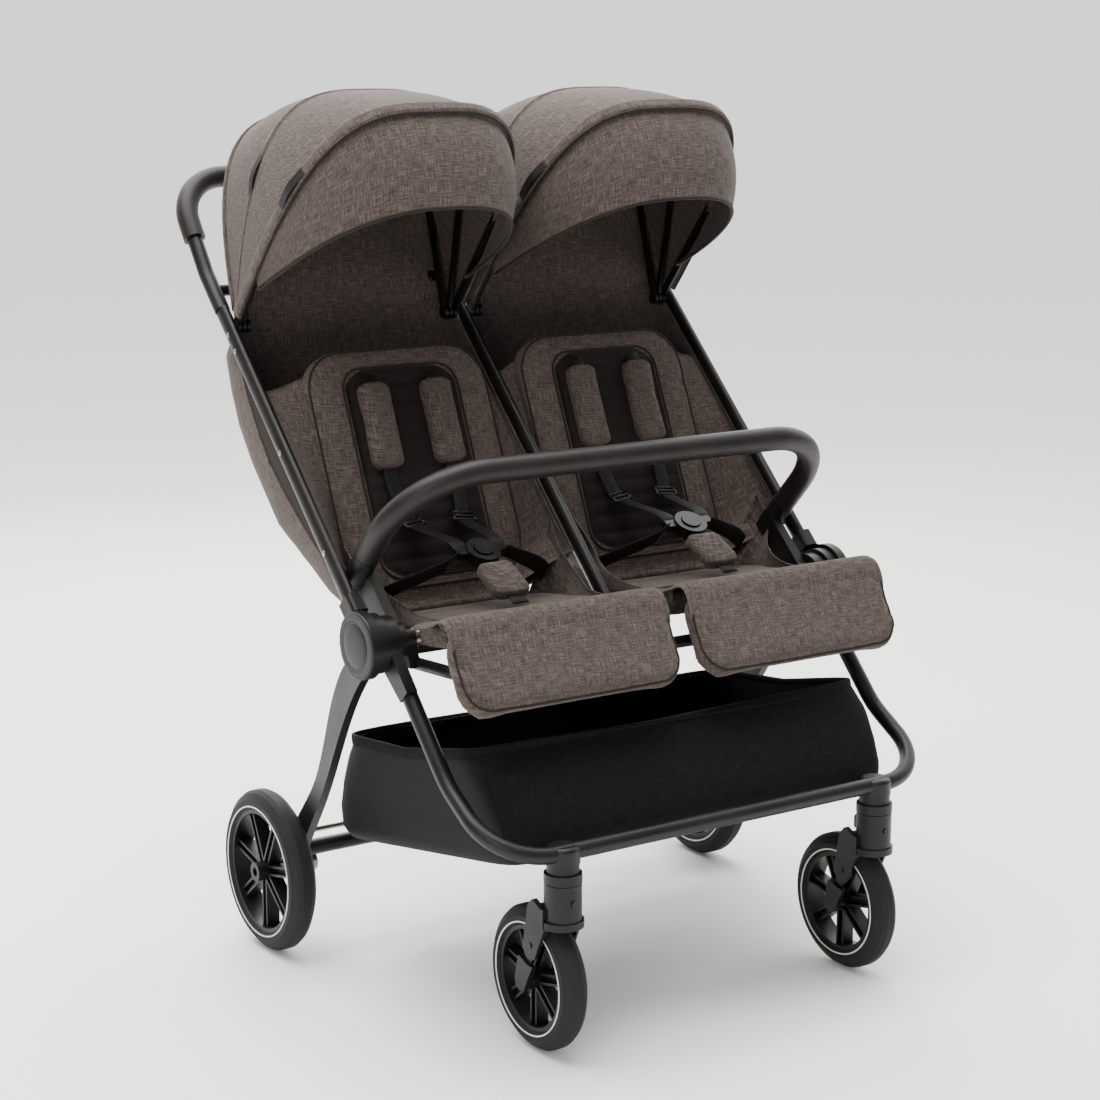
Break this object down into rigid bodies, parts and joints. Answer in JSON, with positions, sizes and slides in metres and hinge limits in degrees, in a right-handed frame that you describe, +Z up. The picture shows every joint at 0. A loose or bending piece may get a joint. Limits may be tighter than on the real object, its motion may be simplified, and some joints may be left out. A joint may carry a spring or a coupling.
{
  "type": "twin stroller",
  "caption": "Folding side-by-side twin stroller with rear axle, swivelling front casters, bumper bar, hoods, footrests and basket.",
  "frame": {"origin": "on the ground, centred between the sides and between the front and rear ends", "axes": "+Z up, -Y towards the front wheels, +X to the pusher's left"},
  "size_m": [0.774, 0.8324, 1.1465],
  "materials": {
    "coated_aluminium": "matte black powder coat",
    "axle_steel": "ground steel",
    "hard_plastic": "moulded matte black",
    "leatherette": "fine grain, dark brown black",
    "tyre_foam": "foam-filled, moulded pattern",
    "seat_fabric": "taupe melange weave",
    "basket_fabric": "black woven polyester"
  },
  "bodies": {
    "front_frame": {"front_legs": "coated_aluminium", "front_crossbar": "coated_aluminium", "hub_pins": "axle_steel", "seat_support_frame": "coated_aluminium", "seat_pad_left": "seat_fabric", "seat_pad_right": "seat_fabric", "basket": "basket_fabric", "caster_housings": "hard_plastic"},
    "main_frame": {"side_tubes": "coated_aluminium", "hub_covers": "hard_plastic", "centre_tube": "coated_aluminium", "push_handle": "coated_aluminium", "handle_grip": "leatherette", "fold_housing": "hard_plastic", "canopy_rear_hoops": "coated_aluminium", "canopy_fabric_left": "seat_fabric", "canopy_fabric_right": "seat_fabric", "seat_shells": "seat_fabric"},
    "fold_button": {"fold_button": "hard_plastic"},
    "rear_frame": {"rear_legs": "coated_aluminium", "rear_axle_tube": "coated_aluminium", "rear_axle_stubs": "axle_steel"},
    "brake": {"brake_rod": "axle_steel", "brake_pedal": "hard_plastic"},
    "bumper_mount": {"bumper_sockets": "hard_plastic"},
    "bumper": {"bumper_bar": "leatherette"},
    "rear_wheel_left": {"rear_rim_left": "hard_plastic", "rear_tyre_left": "tyre_foam"},
    "caster_left": {"caster_yoke_left": "hard_plastic"},
    "fork_left": {"fork_arm_left": "hard_plastic"},
    "front_wheel_left": {"front_rim_left": "hard_plastic", "front_tyre_left": "tyre_foam"},
    "swivel_lock_left": {"swivel_lock_left": "hard_plastic"},
    "caster_release_left": {"caster_release_left": "hard_plastic"},
    "canopy_left": {"canopy_front_bow_left": "hard_plastic", "canopy_visor_left": "seat_fabric"},
    "canopy_mid_left": {"canopy_mid_bow_left": "hard_plastic"},
    "backrest_left": {"backrest_left": "seat_fabric", "shoulder_pads_left": "seat_fabric"},
    "harness_left": {"crotch_pad_left": "seat_fabric", "buckle_left": "hard_plastic"},
    "buckle_button_left": {"buckle_button_left": "hard_plastic"},
    "footrest_left": {"footrest_left": "seat_fabric"},
    "rear_wheel_right": {"rear_rim_right": "hard_plastic", "rear_tyre_right": "tyre_foam"},
    "caster_right": {"caster_yoke_right": "hard_plastic"},
    "fork_right": {"fork_arm_right": "hard_plastic"},
    "front_wheel_right": {"front_rim_right": "hard_plastic", "front_tyre_right": "tyre_foam"},
    "swivel_lock_right": {"swivel_lock_right": "hard_plastic"},
    "caster_release_right": {"caster_release_right": "hard_plastic"},
    "canopy_right": {"canopy_front_bow_right": "hard_plastic", "canopy_visor_right": "seat_fabric"},
    "canopy_mid_right": {"canopy_mid_bow_right": "hard_plastic"},
    "backrest_right": {"backrest_right": "seat_fabric", "shoulder_pads_right": "seat_fabric"},
    "harness_right": {"crotch_pad_right": "seat_fabric", "buckle_right": "hard_plastic"},
    "buckle_button_right": {"buckle_button_right": "hard_plastic"},
    "footrest_right": {"footrest_right": "seat_fabric"}
  },
  "joints": [
    {"name": "fold", "type": "hinge", "parent": "front_frame", "child": "main_frame", "pos_m": [0, -0.12174, 0.4825], "axis": [-1, 0, 0], "range_deg": [-115, 0], "deforming": ["seat_shells"]},
    {"name": "rear_leg_fold", "type": "hinge", "parent": "front_frame", "child": "rear_frame", "pos_m": [0, -0.12174, 0.4825], "axis": [-1, 0, 0], "range_deg": [0, 46.1]},
    {"name": "bumper_fold", "type": "hinge", "parent": "front_frame", "child": "bumper_mount", "pos_m": [0, -0.12174, 0.4825], "axis": [-1, 0, 0], "range_deg": [-63.3, 0]},
    {"name": "bumper_release", "type": "slide", "parent": "bumper_mount", "child": "bumper", "axis": [0, -0.6805, 0.7328], "range_m": [0, 0.05]},
    {"name": "fold_button_press", "type": "slide", "parent": "main_frame", "child": "fold_button", "axis": [0, -0.6997, 0.7145], "range_m": [0, 0.003], "stiffness_N_per_m": 600},
    {"name": "brake_step", "type": "hinge", "parent": "rear_frame", "child": "brake", "pos_m": [0, 0.18526, 0.144], "axis": [1, 0, 0], "range_deg": [0, 16]},
    {"name": "rear_wheel_spin_left", "type": "hinge", "parent": "rear_frame", "child": "rear_wheel_left", "pos_m": [0.364, 0.15926, 0.11], "axis": [1, 0, 0], "continuous": true},
    {"name": "caster_swivel_left", "type": "hinge", "parent": "front_frame", "child": "caster_left", "pos_m": [0.245, -0.37674, 0.2], "axis": [0, 0, 1], "continuous": true},
    {"name": "caster_suspension_left", "type": "hinge", "parent": "caster_left", "child": "fork_left", "pos_m": [0.245, -0.34674, 0.143], "axis": [1, 0, 0], "range_deg": [-3, 3], "stiffness_Nm_per_rad": 290},
    {"name": "front_wheel_spin_left", "type": "hinge", "parent": "fork_left", "child": "front_wheel_left", "pos_m": [0.245, -0.32524, 0.091], "axis": [1, 0, 0], "continuous": true},
    {"name": "swivel_lock_slide_left", "type": "slide", "parent": "caster_left", "child": "swivel_lock_left", "axis": [0, 0, 1], "range_m": [0, 0.006]},
    {"name": "caster_release_press_left", "type": "slide", "parent": "caster_left", "child": "caster_release_left", "axis": [0, 1, 0], "range_m": [0, 0.0015], "stiffness_N_per_m": 500},
    {"name": "canopy_left", "type": "hinge", "parent": "main_frame", "child": "canopy_left", "pos_m": [0.182, 0.24407, 0.84073], "axis": [1, 0, 0], "range_deg": [-50, 0], "deforming": ["canopy_fabric_left", "canopy_visor_left"]},
    {"name": "canopy_mid_left", "type": "hinge", "parent": "main_frame", "child": "canopy_mid_left", "pos_m": [0.182, 0.24407, 0.84073], "axis": [1, 0, 0], "range_deg": [-25.1, 0]},
    {"name": "recline_left", "type": "hinge", "parent": "main_frame", "child": "backrest_left", "pos_m": [0.1665, 0.01126, 0.478], "axis": [-1, 0, 0], "range_deg": [0, 30]},
    {"name": "harness_lay_left", "type": "hinge", "parent": "front_frame", "child": "harness_left", "pos_m": [0.1665, -0.15574, 0.524], "axis": [-1, 0, 0], "range_deg": [-138.1, 0]},
    {"name": "buckle_press_left", "type": "slide", "parent": "harness_left", "child": "buckle_button_left", "axis": [0, 0.4559, -0.89], "range_m": [0, 0.003], "stiffness_N_per_m": 500},
    {"name": "footrest_left", "type": "hinge", "parent": "front_frame", "child": "footrest_left", "pos_m": [0.1665, -0.24774, 0.5], "axis": [-1, 0, 0], "range_deg": [0, 50]},
    {"name": "rear_wheel_spin_right", "type": "hinge", "parent": "rear_frame", "child": "rear_wheel_right", "pos_m": [-0.364, 0.15926, 0.11], "axis": [1, 0, 0], "continuous": true},
    {"name": "caster_swivel_right", "type": "hinge", "parent": "front_frame", "child": "caster_right", "pos_m": [-0.245, -0.37674, 0.2], "axis": [0, 0, 1], "continuous": true},
    {"name": "caster_suspension_right", "type": "hinge", "parent": "caster_right", "child": "fork_right", "pos_m": [-0.245, -0.34674, 0.143], "axis": [1, 0, 0], "range_deg": [-3, 3], "stiffness_Nm_per_rad": 290},
    {"name": "front_wheel_spin_right", "type": "hinge", "parent": "fork_right", "child": "front_wheel_right", "pos_m": [-0.245, -0.32524, 0.091], "axis": [1, 0, 0], "continuous": true},
    {"name": "swivel_lock_slide_right", "type": "slide", "parent": "caster_right", "child": "swivel_lock_right", "axis": [0, 0, 1], "range_m": [0, 0.006]},
    {"name": "caster_release_press_right", "type": "slide", "parent": "caster_right", "child": "caster_release_right", "axis": [0, 1, 0], "range_m": [0, 0.0015], "stiffness_N_per_m": 500},
    {"name": "canopy_right", "type": "hinge", "parent": "main_frame", "child": "canopy_right", "pos_m": [-0.182, 0.24407, 0.84073], "axis": [1, 0, 0], "range_deg": [-50, 0], "deforming": ["canopy_fabric_right", "canopy_visor_right"]},
    {"name": "canopy_mid_right", "type": "hinge", "parent": "main_frame", "child": "canopy_mid_right", "pos_m": [-0.182, 0.24407, 0.84073], "axis": [1, 0, 0], "range_deg": [-25.1, 0]},
    {"name": "recline_right", "type": "hinge", "parent": "main_frame", "child": "backrest_right", "pos_m": [-0.1665, 0.01126, 0.478], "axis": [-1, 0, 0], "range_deg": [0, 30]},
    {"name": "harness_lay_right", "type": "hinge", "parent": "front_frame", "child": "harness_right", "pos_m": [-0.1665, -0.15574, 0.524], "axis": [-1, 0, 0], "range_deg": [-138.1, 0]},
    {"name": "buckle_press_right", "type": "slide", "parent": "harness_right", "child": "buckle_button_right", "axis": [0, 0.4559, -0.89], "range_m": [0, 0.003], "stiffness_N_per_m": 500},
    {"name": "footrest_right", "type": "hinge", "parent": "front_frame", "child": "footrest_right", "pos_m": [-0.1665, -0.24774, 0.5], "axis": [-1, 0, 0], "range_deg": [0, 50]}
  ],
  "couplings": [
    {"joint": "rear_leg_fold", "follows": "fold", "ratio": -0.4},
    {"joint": "bumper_fold", "follows": "fold", "ratio": 0.55},
    {"joint": "canopy_mid_left", "follows": "canopy_left", "ratio": 0.5},
    {"joint": "harness_lay_left", "follows": "fold", "ratio": 1.2},
    {"joint": "canopy_mid_right", "follows": "canopy_right", "ratio": 0.5},
    {"joint": "harness_lay_right", "follows": "fold", "ratio": 1.2}
  ]
}
